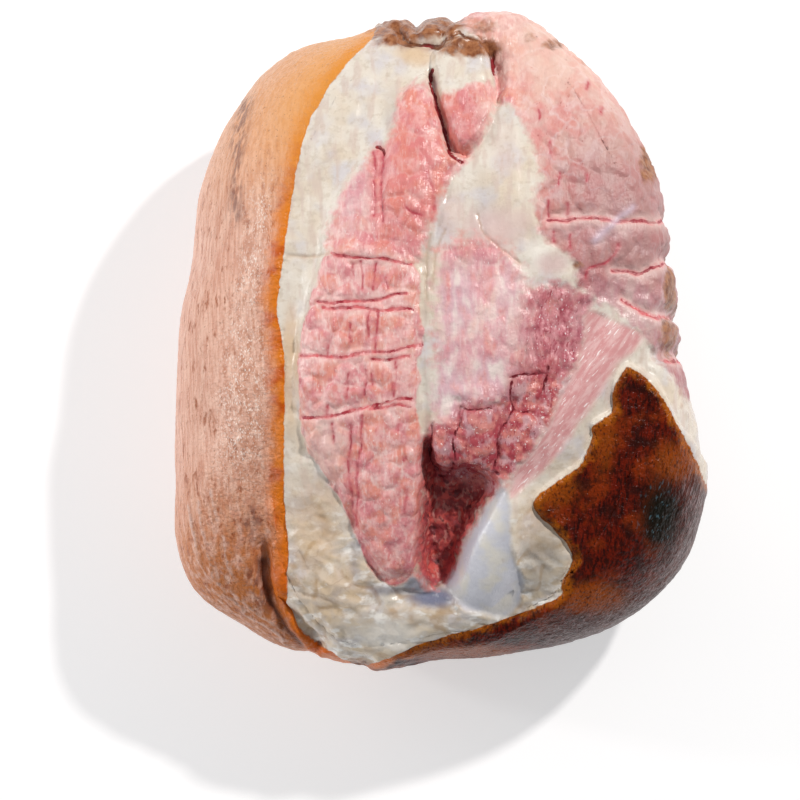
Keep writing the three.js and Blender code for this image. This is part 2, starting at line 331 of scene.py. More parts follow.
# Lean meat: softness of the border and outline
LEAN = [
    (3, [(332, 254), (313, 295), (300, 350), (300, 413), (309, 450), (338, 496), (359, 543), (377, 577),
         (399, 583), (417, 564), (421, 504), (419, 431), (415, 400), (421, 380), (417, 360), (424, 344),
         (420, 316), (411, 264)]),
    (12, [(425, 84), (402, 96), (390, 136), (375, 150), (352, 179), (334, 214), (332, 254), (411, 264),
          (425, 241), (438, 203), (446, 184), (461, 163), (447, 149), (441, 119)]),
    (9, [(440, 98), (452, 93), (470, 86), (492, 85), (495, 102), (483, 135), (470, 158), (462, 162),
         (450, 145)]),
    (9, [(475, 36), (494, 63), (498, 100), (513, 107), (530, 138), (542, 180), (534, 195), (538, 228),
         (551, 243), (578, 266), (575, 285), (600, 300), (640, 330), (655, 355), (668, 372), (690, 400),
         (730, 380), (740, 200), (640, 0), (540, -30), (470, -20), (452, 15)]),
    (14, [(560, 283), (600, 300), (588, 312), (584, 339), (576, 369), (563, 392), (551, 423), (534, 450),
          (515, 476), (500, 488), (482, 514), (469, 539), (459, 561), (454, 580), (438, 588), (422, 586),
          (414, 570), (417, 500), (420, 440), (440, 420), (455, 405), (490, 400), (505, 370), (510, 330),
          (525, 295)]),
    (24, [(440, 250), (470, 238), (505, 250), (530, 290), (535, 330), (525, 375), (500, 405), (460, 412),
          (438, 424), (435, 400), (436, 344), (436, 300), (440, 265)]),
]
FASCIA = [
    (588, 312), (615, 322), (643, 335), (635, 348), (618, 362), (606, 384), (594, 402), (580, 421),
    (564, 445), (547, 466), (525, 485), (511, 497), (515, 476), (534, 450), (551, 423), (563, 392),
    (576, 369), (584, 339),
]
GRISTLE = [
    (502, 488), (509, 506), (510, 530), (513, 556), (522, 578), (520, 602), (506, 616), (478, 612),
    (457, 600), (447, 584), (459, 561), (469, 539), (482, 514),
]
TORN_LEAN = [
    (505, 375), (549, 373), (563, 392), (551, 423), (534, 450), (515, 476), (500, 488), (482, 514),
    (469, 539), (459, 561), (447, 584), (430, 588), (421, 560), (423, 500), (428, 430), (458, 396),
    (494, 392),
]
HOLLOW = [
    (422, 428), (420, 510), (417, 560), (424, 586), (438, 590), (452, 580), (466, 545), (484, 512),
    (488, 494), (466, 482), (445, 474), (434, 455), (430, 430),
]
# Soft patches: middle, half width and half height, and strength
VEILED = [
    ((478, 325), (50, 85), 0.55),
    ((456, 302), (26, 48), 0.95),
    ((447, 388), (26, 34), 1.0),
    ((489, 374), (24, 26), 0.95),
    ((508, 290), (16, 36), 0.8),
    ((450, 345), (20, 40), 0.7),
    ((630, 320), (55, 40), 0.4),
    ((350, 190), (22, 50), 0.5),
    # Painted light: whitens the shaded left slope at the lower end of the near muscle
    ((326, 450), (18, 40), 0.2),
    ((600, 232), (40, 10), 0.3),
]
PALE = [
    ((560, 40), (110, 55), 0.9),
    ((630, 110), (45, 70), 0.6),
    ((640, 200), (30, 60), 0.4),
    # Painted light: lightens the shaded left slope at the lower end of the near muscle
    ((326, 450), (20, 42), 1.0),
    ((486, 118), (12, 30), 0.7),
]
FIBROUS = [
    ((562, 335), (48, 66), 1.0),
    ((525, 385), (42, 30), 0.7),
    ((470, 262), (24, 22), 0.5),
    ((395, 235), (30, 22), 0.3),
    ((470, 122), (24, 30), 0.35),
]
SMOKED = [
    ((400, 27), (36, 22), 1.0),
    ((436, 22), (32, 20), 1.0),
    ((468, 47), (34, 13), 0.9),
    ((480, 27), (22, 10), 0.5),
    ((555, 45), (14, 7), 0.6),
    ((592, 61), (12, 8), 0.7),
    ((530, 38), (10, 6), 0.5),
    ((580, 265), (9, 6), 0.6),
    ((650, 155), (11, 32), 1.0),
    ((672, 290), (9, 30), 1.0),
    ((671, 338), (14, 25), 0.8),
    ((689, 395), (8, 30), 0.6),
]
GREENISH = [((660, 515), (22, 40), 1.0)]
# Painted shade: blue-grey patches of shadow on the fat, mostly round the lower end of the near muscle
BLUE_SHADE_PATCHES = [
    ((434, 597), (28, 11), 1.0),
    ((414, 584), (13, 13), 0.8),
    ((394, 590), (32, 6), 0.6),
    ((356, 562), (6, 26), 0.35),
    ((392, 112), (9, 26), 0.2),
    ((484, 200), (12, 30), 0.12),
]
# Painted shade: grey-brown shadow on the fat beside the gristle and along the near end
DIM_SHADE_PATCHES = [((543, 562), (24, 36), 1.0), ((390, 622), (90, 18), 0.3)]
BRIGHT = [((388, 634), (36, 15), 1.0), ((540, 252), (12, 16), 0.7)]
YELLOWISH = [
    ((291, 365), (9, 60), 0.9),
    ((314, 530), (26, 50), 0.7),
    ((330, 590), (44, 34), 0.5),
    ((540, 518), (22, 30), 0.5),
    ((418, 56), (20, 10), 0.8),
]
AMBER = [
    ((675, 462), (24, 20), 0.75),
    ((590, 598), (36, 16), 0.9),
    ((552, 490), (24, 18), 0.9),
    ((604, 436), (12, 36), 0.7),
    ((460, 652), (56, 8), 1.0),
]
RICH = [((410, 180), (46, 80), 0.9), ((462, 122), (18, 34), 0.9), ((560, 250), (30, 40), 0.4)]
PINKISH = [
    ((492, 232), (32, 26), 1.0),
    ((450, 215), (16, 26), 0.6),
    ((505, 150), (14, 30), 0.3),
    ((516, 226), (14, 16), 0.7),
    ((553, 264), (17, 12), 1.0),
]
# Lines in the surface: half width in pixels, depth in millimetres, and routes
STRING_LINES = (1.6, 0.35, [
    [(332, 253), (356, 258), (377, 258), (393, 262), (411, 265)],
    [(318, 302), (349, 302), (370, 300), (406, 293)],
    [(324, 307), (356, 307), (384, 309), (413, 309)],
    [(300, 355), (329, 357), (359, 354), (395, 350), (422, 345)],
    [(372, 360), (390, 359), (408, 357)],
    [(303, 417), (327, 416), (347, 412), (368, 407), (395, 401), (411, 399)],
    [(370, 409), (395, 406), (409, 407)],
    [(547, 220), (565, 220), (584, 218), (603, 219), (618, 223), (633, 221), (651, 222), (670, 223)],
    [(612, 271), (626, 271), (639, 273), (655, 266), (675, 265)],
    [(622, 300), (638, 310), (653, 317), (680, 318)],
    [(664, 361), (690, 362)],
])
SPLITS = (1.3, 0.3, [
    [(353, 264), (353, 275)],
    [(361, 262), (362, 289)],
    [(377, 263), (374, 289)],
    [(387, 278), (387, 289)],
    [(329, 341), (328, 357)],
    [(350, 323), (351, 343)],
    [(369, 310), (368, 335)],
    [(379, 310), (375, 351)],
    [(327, 406), (327, 416)],
    [(349, 373), (349, 398)],
    [(366, 369), (364, 394)],
    [(372, 375), (372, 384)],
    [(395, 359), (395, 368)],
    [(394, 384), (394, 398)],
    [(332, 423), (332, 442)],
    [(351, 424), (349, 444), (350, 476), (353, 510), (356, 525)],
    [(362, 416), (362, 435), (359, 462), (357, 498), (358, 525)],
    [(398, 425), (398, 430)],
    [(403, 457), (403, 461)],
    [(406, 487), (405, 512)],
    [(538, 111), (538, 118)],
    [(588, 83), (587, 89)],
    [(600, 109), (600, 116)],
    [(561, 173), (559, 184)],
    [(588, 175), (587, 181)],
    [(550, 143), (550, 153)],
    [(568, 203), (568, 214)],
    [(548, 201), (548, 216)],
    [(554, 231), (554, 241)],
    [(571, 235), (569, 247)],
    [(617, 245), (611, 260), (590, 268), (586, 278)],
    [(427, 171), (433, 194), (432, 208)],
    [(404, 205), (411, 212), (422, 216)],
    [(374, 153), (375, 189), (374, 215)],
    [(383, 156), (382, 189), (383, 222)],
])
TEARS = (1.4, 0.6, [
    [(461, 407), (472, 409), (491, 409)],
    [(511, 412), (520, 412), (536, 412)],
    [(460, 407), (459, 423), (454, 444), (454, 460), (447, 475), (439, 476)],
    [(431, 423), (431, 441), (431, 459), (438, 470)],
    [(513, 407), (509, 418), (499, 432), (498, 453), (494, 469), (500, 475)],
    [(509, 376), (530, 374), (547, 373)],
    [(547, 367), (545, 387), (541, 396)],
    [(511, 380), (510, 396), (512, 408)],
])
CREVICES = (2.0, 1.0, [
    [(377, 148), (381, 150), (383, 154)],
    [(431, 70), (431, 87), (438, 107), (446, 134), (450, 153), (463, 162)],
    [(486, 44), (493, 60), (495, 74)],
    [(400, 42), (412, 45), (438, 47), (446, 42)],
    [(382, 24), (395, 28), (404, 40)],
    [(446, 42), (458, 32), (470, 40), (486, 44)],
])
FAT_CREASES = (1.8, 0.5, [
    [(306, 593), (322, 597), (340, 603)],
    [(299, 552), (303, 562), (308, 570)],
    [(316, 516), (324, 520)],
    [(287, 256), (308, 257), (330, 253)],
    [(430, 235), (426, 262), (428, 300)],
    [(446, 230), (436, 250), (432, 290)],
    [(478, 215), (490, 240), (520, 262)],
])
# Fold in the rind at the near left corner, and the lip that stands over it
FOLD = (5, 1.2, [[(262, 562), (266, 585), (273, 605), (284, 625), (300, 641)]])
LIP = (6, 2.5, [[(272, 510), (276, 550), (281, 585), (288, 612), (302, 634), (324, 650)]])
# Ridges and stains along the rind, and the band low on the brown rind where sheen is painted in streaks
WRINKLES = (1.3, -0.5, [
    [(199, 500), (200, 520), (206, 546), (213, 572), (218, 584)],
    [(189, 505), (190, 519), (196, 546)],
    [(210, 490), (213, 505), (216, 520)],
    [(222, 535), (227, 557), (233, 580)],
    [(222, 592), (248, 616), (275, 632), (288, 643)],
    [(228, 590), (252, 610), (280, 628)],
])
STAINS = (7, 0.0, [
    [(246, 103), (241, 126), (238, 150), (237, 175), (235, 218)],
    [(246, 526), (247, 534)],
    [(254, 512), (257, 520)],
    [(252, 574), (260, 592), (268, 606)],
])
SHEEN_BAND_LINES = (24, 0.0, [[(704, 480), (700, 530), (680, 572), (640, 608), (590, 634), (560, 643)]])
VEINS = (4, -0.4, [[(595, 239), (612, 224), (633, 207)]])
# Half widths in pixels: the furrow round a split, the red round a tear, and the band beside a string line,
# painted pale there as a highlight and red right at the line
FURROW = 3.2
GASH = 5
BESIDE = 7
# Columns and rows of the photograph from where a broad change is absent to where it is full
DARKER_RIGHT_COLUMNS = (500, 600)
DARKER_RIGHT_ROWS = (60, 200)
SLAB_COLUMNS = (505, 535)
SLAB_ROWS = (300, 270)
DARK_COLUMNS = (300, 470)
LOW_ROWS = (430, 600)
HIGH_ROWS = (260, 80)
CREST_STARTS = (150, 230)
CREST_WIDENS = (290, 390)
CREST_ENDS = (520, 430)
# The same for heights on the ham, in millimetres
UPPER_HEIGHTS = (35, 65)
SMOKED_HEIGHTS = (88, 60)
UNBROKEN_HEIGHTS = (95, 112)
# Height of the rind's upper edge where the cut face runs over the side, and how far it wanders
RIND_LINE = 46
RIND_WANDER = 5
# How far the marks and the rind's edge waver, in pixels
WOBBLE = 2.5
EDGE_WOBBLE = 1.2
# Size of a bundle of fibres in millimetres, and the turn of the fascia's fibres in degrees
BUNDLE = (7.5, 9.5, 7.5)
FASCIA_TURN = -39

# Light and floor

LAMPS = [
    ("key", 11.5, 0.06, (0.6, 0.5, 1.02), (1, 0.97, 0.93)),
    ("fill", 7, 1.0, (-1.1, 0.2, 0.42), (1, 0.99, 0.97)),
    ("spark", 2, 0.08, (-1.0, 0.1, 0.55), (1, 1, 1)),
]
LAMPS_AIM = (0, 0, 0.08)
SKY_COLOUR = (0.93, 0.96, 1, 1)
SKY_STRENGTH = 0.26
FLOOR_SIDE = 8
FLOOR_COLOUR = (0.6, 0.6, 0.61, 1)
FLOOR_ROUGHNESS = 0.8
FLOOR_GLOW = 0.5
WHITE = (1, 1, 1, 1)


# Surface marks

def grain(points, size, shift=0):
    """Smooth noise between -1 and 1 with lumps of a size in millimetres, given for each axis or for all."""
    return np.array([noise.noise(p) for p in (points / size + shift).tolist()])


def meat_cells(points, size):
    """Bundles of fibres: distance from the seam between them in bundle sizes, and each bundle's own tint."""
    bent = points + 2.2 * np.stack([grain(points, 8, k) for k in (3.1, 5.3, 7.7)], axis=-1)
    near = [noise.voronoi(p) for p in (bent / size).tolist()]
    seam = np.array([distance[1] - distance[0] for distance, _ in near])
    tint = np.array([noise.cell(middles[0] * 17.3) for _, middles in near])
    return seam, tint


def line_strength(px, py, lines):
    half, _, routes = lines
    nearest = np.full(px.shape, np.inf)
    for route in routes:
        nearest = np.minimum(nearest, distance_to_line(px, py, sampled(route, per_span=3)))
    return np.exp(-((nearest / half) ** 2))


def patches(px, py, spots):
    most = np.zeros(px.shape)
    for middle, half, strength in spots:
        spread = ((px - middle[0]) / half[0]) ** 2 + ((py - middle[1]) / half[1]) ** 2
        most = np.maximum(most, strength * np.exp(-(spread**2)))
    return most


def surface_marks(points, shift, camera):
    """What the surface is at each point, as signed depths into zones or strengths from 0 to 1."""
    z = points[:, 2]
    own = points + shift
    edge = upper_points(np.arctan2(own[:, 1], own[:, 0]), np.ones(len(points))) - shift
    px, py = photo_pixels(np.where((z < WIDEST_HEIGHT)[:, None], edge, points), camera)
    waver = np.stack([grain(points, 7) + 0.4 * grain(points, 2.5), grain(points, 7, 31.7)])
    edge_px, edge_py = np.stack([px, py]) + EDGE_WOBBLE * waver
    px, py = np.stack([px, py]) + WOBBLE * waver
    per_pixel = CAMERA_DISTANCE / LENS_PIXELS
    inside = depth_inside(edge_px, edge_py, sampled(CUT_FACE, closed=True)) * per_pixel
    lean = np.full(px.shape, -1.0)
    for soft, outline in LEAN:
        lean = np.maximum(lean, np.clip(depth_inside(px, py, sampled(outline, closed=True)) / soft, -1, 1))
    seam, tint = meat_cells(points, np.array(BUNDLE))
    upper = smoothstep(*UPPER_HEIGHTS, z)
    blotched = np.maximum(smoothstep(-0.1, 0.4, grain(points, 13, 5.9)), smoothstep(*UNBROKEN_HEIGHTS, z))
    nearer = smoothstep(*CREST_WIDENS, py)
    along_crest = smoothstep(*CREST_STARTS, py) * smoothstep(*CREST_ENDS, py)
    return {
        "face": np.minimum(inside, z - RIND_LINE + RIND_WANDER * grain(points, 18)),
        "lean": lean,
        "seam": seam,
        "tint": tint,
        "fascia": depth_inside(px, py, sampled(FASCIA, closed=True)) * per_pixel,
        "gristle": depth_inside(px, py, sampled(GRISTLE, closed=True)) * per_pixel,
        "torn": smoothstep(-12, 10, depth_inside(px, py, sampled(TORN_LEAN, closed=True))),
        "hollow": smoothstep(-6, 6, depth_inside(px, py, sampled(HOLLOW, closed=True))),
        "crest": np.exp(-(((inside + 13 + 5 * nearer) / (6 + 6 * nearer)) ** 2)) * along_crest,
        "lump": np.sqrt((grain(points, 17, 2.2) + 0.3 * grain(points, 7, 4.2)) ** 2 + 0.01),
        "veil": patches(px, py, VEILED),
        "pale": patches(px, py, PALE),
        "darker_right": smoothstep(*DARKER_RIGHT_COLUMNS, px) * smoothstep(*DARKER_RIGHT_ROWS, py),
        "slab": smoothstep(*SLAB_COLUMNS, px) * smoothstep(*SLAB_ROWS, py),
        "fibrous": patches(px, py, FIBROUS),
        "smoke": np.maximum(patches(px, py, SMOKED) * upper * blotched, smoothstep(*SMOKED_HEIGHTS, z)),
        "string": line_strength(px, py, STRING_LINES),
        "split": line_strength(px, py, SPLITS),
        "furrow": line_strength(px, py, (FURROW, 0.0, SPLITS[2])),
        "beside": line_strength(px, py, (BESIDE, 0.0, STRING_LINES[2])),
        "tear": line_strength(px, py, TEARS),
        "gash": line_strength(px, py, (GASH, 0.0, TEARS[2])),
        "crevice": line_strength(px, py, CREVICES),
        "crease": line_strength(px, py, FAT_CREASES),
        "fold": line_strength(px, py, FOLD),
        "lip": line_strength(px, py, LIP),
        "wrinkle": line_strength(px, py, WRINKLES),
        "stain": line_strength(px, py, STAINS) * upper,
        "sheen_band": line_strength(px, py, SHEEN_BAND_LINES),
        "vein": line_strength(px, py, VEINS),
        "dark": smoothstep(*DARK_COLUMNS, px),
        "low": smoothstep(*LOW_ROWS, py),
        "high": smoothstep(*HIGH_ROWS, py) * upper,
        "green": patches(px, py, GREENISH),
        "blue_shade": patches(px, py, BLUE_SHADE_PATCHES),
        "pinkish": patches(px, py, PINKISH),
        "dim_shade": patches(px, py, DIM_SHADE_PATCHES),
        "bright": patches(px, py, BRIGHT),
        "yellow": patches(px, py, YELLOWISH),
        "amber": patches(px, py, AMBER),
        "rich": patches(px, py, RICH),
    }


def fine_relief(points, marks):
    """Relief finer than the solid's, in millimetres along the normal."""
    meat = smoothstep(-0.2, 0.2, marks["face"])
    smooth = np.maximum(smoothstep(-1, 1, marks["fascia"]), smoothstep(-1, 1, marks["gristle"]))
    lean = smoothstep(-0.3, 0.3, marks["lean"]) * meat * (1 - smooth)
    fat = meat * (1 - lean) * (1 - smooth)
    skin = 1 - meat
    ridges = 1 - 2 * np.abs(grain(points, 4.2, 7.1))
    bundles = 0.8 * (1 - 0.7 * marks["veil"]) * smoothstep(0, 0.5, marks["seam"])
    rise = lean * (bundles + 0.5 * grain(points, 6) + 0.15 * grain(points, 2.6))
    rise += lean * marks["torn"] * (0.4 * ridges + 0.4 * grain(points, 2.2, 3.3))
    rise += lean * marks["hollow"] * (0.9 * grain(points, 3.5, 5.5) + 0.4 * grain(points, 1.8, 2.5))
    rise += lean * marks["fibrous"] * 0.5 * grain(points, np.array([1.6, 7, 3]), 1.4)
    rise += lean * marks["veil"] * 0.5 * grain(points, np.array([3, 14, 5]), 2.9)
    strands = 0.6 * (1 - marks["low"]) * grain(points, np.array([4, 18, 6]), 2.1)
    folds = 0.7 * marks["low"] * (1 - 2 * np.abs(grain(points, np.array([7, 4.5, 6]), 3.7)))
    lumps = 1.8 * marks["lump"] * (0.6 + 0.6 * marks["low"])
    rise += fat * (lumps + 0.4 * grain(points, 8, 8.8) + 0.15 * grain(points, 3, 6.8) + strands + folds)
    rise += meat * marks["smoke"] * (0.8 * grain(points, 5, 9.1) + 0.4 * grain(points, 2.4, 1.7))
    rise += meat * smooth * 0.25 * grain(points, np.array([3, 9, 5]), 4.4)
    streaks = 0.3 * grain(points, np.array([3.2, 26, 3.2]))
    rise += skin * (0.9 * grain(points, 24, 6.6) + streaks + 0.2 * grain(points, 2.4, 5.2))
    rise += skin * 0.7 * np.exp(-(((marks["face"] + 3) / 3) ** 2))
    rise += skin * (LIP[1] * marks["lip"] - FOLD[1] * marks["fold"])
    for name, lines in (("string", STRING_LINES), ("split", SPLITS), ("tear", TEARS),
                        ("crevice", CREVICES), ("crease", FAT_CREASES), ("vein", VEINS)):
        rise -= lines[1] * marks[name] * meat
    rise -= WRINKLES[1] * marks["wrinkle"] * skin
    return rise


# Material

def tone(red, green, blue_shade):
    """Linear colour from screen values of 0 to 255."""
    channels = [c / 255 for c in (red, green, blue_shade)]
    return tuple(c / 12.92 if c <= 0.04045 else ((c + 0.055) / 1.055) ** 2.4 for c in channels) + (1.0,)


class Nodes:
    """Short calls that add nodes to a material and return their output sockets."""

    def __init__(self, material):
        material.use_nodes = True
        self.tree = material.node_tree
        self.shader = self.tree.nodes["Principled BSDF"]
        self.place = self.tree.nodes.new("ShaderNodeTexCoord").outputs["Object"]
        self.marks = {}
        self.noises = {}

    def put(self, socket, value):
        if isinstance(value, bpy.types.NodeSocket):
            self.tree.links.new(value, socket)
        else:
            socket.default_value = value

    def mark(self, name, strength=1.0):
        if name not in self.marks:
            node = self.tree.nodes.new("ShaderNodeAttribute")
            node.attribute_name = name
            self.marks[name] = node.outputs["Fac"]
        mark = self.marks[name]
        return mark if strength == 1.0 else self.times(mark, strength)

    def noise(self, size, detail=2, shift=0, roughness=0.5, turn=0):
        """Noise from 0 to 1 with lumps of a size in millimetres, for each axis or all, turned about +Z."""
        key = (size, detail, shift, roughness, turn)
        if key in self.noises:
            return self.noises[key]
        mapping = self.tree.nodes.new("ShaderNodeMapping")
        mapping.vector_type = "TEXTURE"
        mapping.inputs["Scale"].default_value = tuple(np.broadcast_to(np.asarray(size, float), 3) * MM)
        mapping.inputs["Rotation"].default_value = (0, 0, math.radians(turn))
        mapping.inputs["Location"].default_value = (shift * 0.1, shift * 0.1, shift * 0.1)
        self.put(mapping.inputs["Vector"], self.place)
        node = self.tree.nodes.new("ShaderNodeTexNoise")
        node.inputs["Scale"].default_value = 1
        node.inputs["Detail"].default_value = detail
        node.inputs["Roughness"].default_value = roughness
        self.put(node.inputs["Vector"], mapping.outputs["Vector"])
        self.noises[key] = node.outputs["Fac"]
        return self.noises[key]

    def math(self, operation, a, b):
        node = self.tree.nodes.new("ShaderNodeMath")
        node.operation = operation
        self.put(node.inputs[0], a)
        self.put(node.inputs[1], b)
        return node.outputs[0]

    def plus(self, a, b):
        return self.math("ADD", a, b)

    def times(self, a, b):
        return self.math("MULTIPLY", a, b)

    def step(self, value, low, high):
        """0 at low and 1 at high, smooth between and flat outside; low may be the greater."""
        node = self.tree.nodes.new("ShaderNodeMapRange")
        node.interpolation_type = "SMOOTHSTEP"
        self.put(node.inputs["Value"], value)
        rising = low < high
        node.inputs["From Min"].default_value = min(low, high)
        node.inputs["From Max"].default_value = max(low, high)
        node.inputs["To Min"].default_value = 0.0 if rising else 1.0
        node.inputs["To Max"].default_value = 1.0 if rising else 0.0
        return node.outputs["Result"]

    def uneven(self, name, amount, *noise):
        """A mark that wavers to either side by half an amount of noise."""
        return self.plus(self.mark(name), self.times(self.plus(self.noise(*noise), -0.5), amount))

    def ragged(self, name):
        """A line's strength with a torn edge."""
        return self.step(self.uneven(name, 1.2, 2, 2, 27), 0.35, 0.7)

    def ridge(self, size, shift, width):
        """Thin wandering lines, spaced by about a size in millimetres."""
        away = self.math("ABSOLUTE", self.plus(self.noise(size, 2, shift), -0.5), 0)
        return self.step(away, width, 0.0)

    def mix(self, factor, a, b):
        node = self.tree.nodes.new("ShaderNodeMix")
        node.data_type = "RGBA"
        self.put(node.inputs[0], factor)
        self.put(node.inputs[6], a)
        self.put(node.inputs[7], b)
        return node.outputs[2]

    def level(self, factor, a, b):
        node = self.tree.nodes.new("ShaderNodeMix")
        self.put(node.inputs[0], factor)
        self.put(node.inputs[2], a)
        self.put(node.inputs[3], b)
        return node.outputs[0]


def lean_colour(n):
    """Pink and salmon bundles of fibres with paler tissue between them, redder where deep or torn, with
    painted glints.
    """
    broad = n.noise((6, 8, 6), 3, 0, 0.6)
    colour = n.mix(n.step(n.noise((8, 10, 8), 2, 91), 0.4, 0.6), tone(220, 140, 144), tone(228, 146, 130))
    colour = n.mix(n.step(broad, 0.42, 0.66), colour, tone(240, 186, 182))
    colour = n.mix(n.times(n.step(n.mark("tint"), 0.6, 0.9), 0.35), colour, tone(224, 132, 116))
    web = n.uneven("seam", 0.3, 2.2, 2, 3)
    netted = n.times(n.step(web, 0.16, 0.0), n.step(n.noise(9, 2, 97), 0.38, 0.6))
    colour = n.mix(n.times(netted, 0.5), colour, tone(250, 220, 212))
    strands = n.noise((1.3, 6, 1.3), 2, 107)
    colour = n.mix(n.times(n.step(strands, 0.54, 0.7), 0.45), colour, tone(250, 220, 214))
    colour = n.mix(n.times(n.step(strands, 0.44, 0.3), 0.4), colour, tone(202, 100, 108))
    # Painted highlights: small wet glints on the lean
    glints = n.step(n.noise((0.9, 1.8, 0.9), 2, 47), 0.64, 0.74)
    colour = n.mix(n.times(glints, 0.6), colour, tone(254, 236, 230))
    slab = n.mix(n.step(n.noise((7, 10, 7), 2, 111), 0.4, 0.6), tone(220, 186, 174), tone(218, 150, 140))
    slab = n.mix(n.times(n.ridge((11, 14, 11), 113, 0.05), 0.6), slab, tone(232, 210, 208))
    slab = n.mix(n.step(n.noise((1.2, 2.4, 1.2), 2, 115), 0.66, 0.74), slab, tone(176, 96, 84))
    colour = n.mix(n.mark("slab", 0.7), colour, slab)
    colour = n.mix(n.mark("rich", 0.5), colour, tone(214, 118, 112))
    colour = n.mix(n.mark("pale", 0.55), colour, tone(234, 204, 188))
    # Darker towards the right and from the far end downwards
    colour = n.mix(n.mark("darker_right", 0.66), colour, tone(148, 94, 100))
    red = n.mix(n.step(n.noise((2.5, 6, 2.5), 2, 43), 0.38, 0.62), tone(176, 76, 94), tone(210, 136, 144))
    red = n.mix(n.times(n.step(n.noise((0.9, 3.2, 0.9), 2, 45), 0.57, 0.66), 0.9), red, tone(152, 34, 58))
    # Painted glints in the fibrous meat
    red = n.mix(n.step(n.noise((0.9, 1.8, 0.9), 2, 47), 0.62, 0.72), red, tone(244, 222, 224))
    colour = n.mix(n.times(n.mark("fibrous", 0.9), n.step(n.noise(6, 2, 49), 0.2, 0.55)), colour, red)
    torn = n.mix(n.step(n.noise(5, 2, 5), 0.38, 0.62), tone(172, 66, 76), tone(212, 128, 120))
    torn = n.mix(n.times(n.step(n.noise((4, 7, 4), 2, 51), 0.46, 0.64), 0.7), torn, tone(210, 168, 174))
    torn = n.mix(n.times(n.step(n.noise((1, 2.6, 1), 2, 55), 0.58, 0.68), 0.7), torn, tone(150, 38, 54))
    # Painted glints on the torn lumps
    torn = n.mix(n.step(n.noise(1.1, 2, 61), 0.62, 0.72), torn, tone(242, 218, 214))
    colour = n.mix(n.mark("torn"), colour, torn)
    pit = n.mix(n.step(n.noise(3.5, 2, 1), 0.4, 0.62), tone(130, 28, 30), tone(202, 84, 76))
    pit = n.mix(n.times(n.step(n.noise((2.2, 5, 2.2), 2, 63), 0.52, 0.66), 0.6), pit, tone(206, 152, 140))
    pit = n.mix(n.step(n.noise(4, 2, 65), 0.58, 0.68), pit, tone(76, 18, 22))
    return n.mix(n.mark("hollow", 0.95), colour, pit)


def fat_colour(n):
    """White fat with cream, grey and strands, lumpy and creased at the near end, with painted shade in
    patches.
    """
    colour = n.mix(n.step(n.noise(17, 2, 11), 0.35, 0.7), tone(228, 219, 207), tone(223, 207, 187))
    colour = n.mix(n.step(n.noise(13, 2, 55), 0.48, 0.72), colour, tone(214, 207, 207))
    creamy = n.step(n.noise((9, 6, 7), 2, 14), 0.44, 0.62)
    colour = n.mix(n.times(n.mark("low", 0.5), creamy), colour, tone(220, 196, 158))
    greyed = n.step(n.noise((8, 5, 6), 2, 117), 0.52, 0.66)
    colour = n.mix(n.times(n.mark("low", 0.5), greyed), colour, tone(206, 201, 200))
    whites = n.step(n.noise((7, 4, 5), 2, 119), 0.54, 0.66)
    colour = n.mix(n.times(n.level(n.mark("low"), 0.15, 1.0), whites), colour, tone(252, 248, 242))
    colour = n.mix(n.times(n.step(n.noise(2.5, 2, 95), 0.5, 0.7), 0.4), colour, tone(194, 178, 158))
    strands = n.step(n.noise((3.5, 16, 3.5), 2, 123), 0.48, 0.68)
    colour = n.mix(n.times(strands, n.level(n.mark("low"), 0.55, 0.1)), colour, tone(210, 188, 176))
    colour = n.mix(n.mark("yellow", 0.65), colour, tone(214, 174, 126))
    valleys = n.times(n.step(n.mark("lump"), 0.16, 0.1), n.step(n.noise(9, 2, 97), 0.4, 0.6))
    valleys = n.times(valleys, n.mark("low"))
    colour = n.mix(n.times(valleys, 0.65), colour, tone(176, 138, 92))
    threads = n.times(n.ridge((12, 6, 8), 93, 0.03), n.step(n.noise(8, 2, 89), 0.48, 0.6))
    colour = n.mix(n.times(threads, n.level(n.mark("low"), 0.08, 0.3)), colour, tone(164, 130, 94))
    # Painted shade: grey-brown shadow beside the gristle and along the near end
    colour = n.mix(n.mark("dim_shade", 0.65), colour, tone(156, 142, 124))
    colour = n.mix(n.mark("bright", 0.75), colour, tone(248, 242, 233))
    colour = n.mix(n.mark("pinkish", 0.8), colour, tone(214, 184, 180))
    # Painted shade: blue-grey shadow in patches
    colour = n.mix(n.mark("blue_shade", 0.9), colour, tone(104, 111, 140))
    return n.mix(n.mark("crease", 0.35), colour, tone(170, 130, 86))


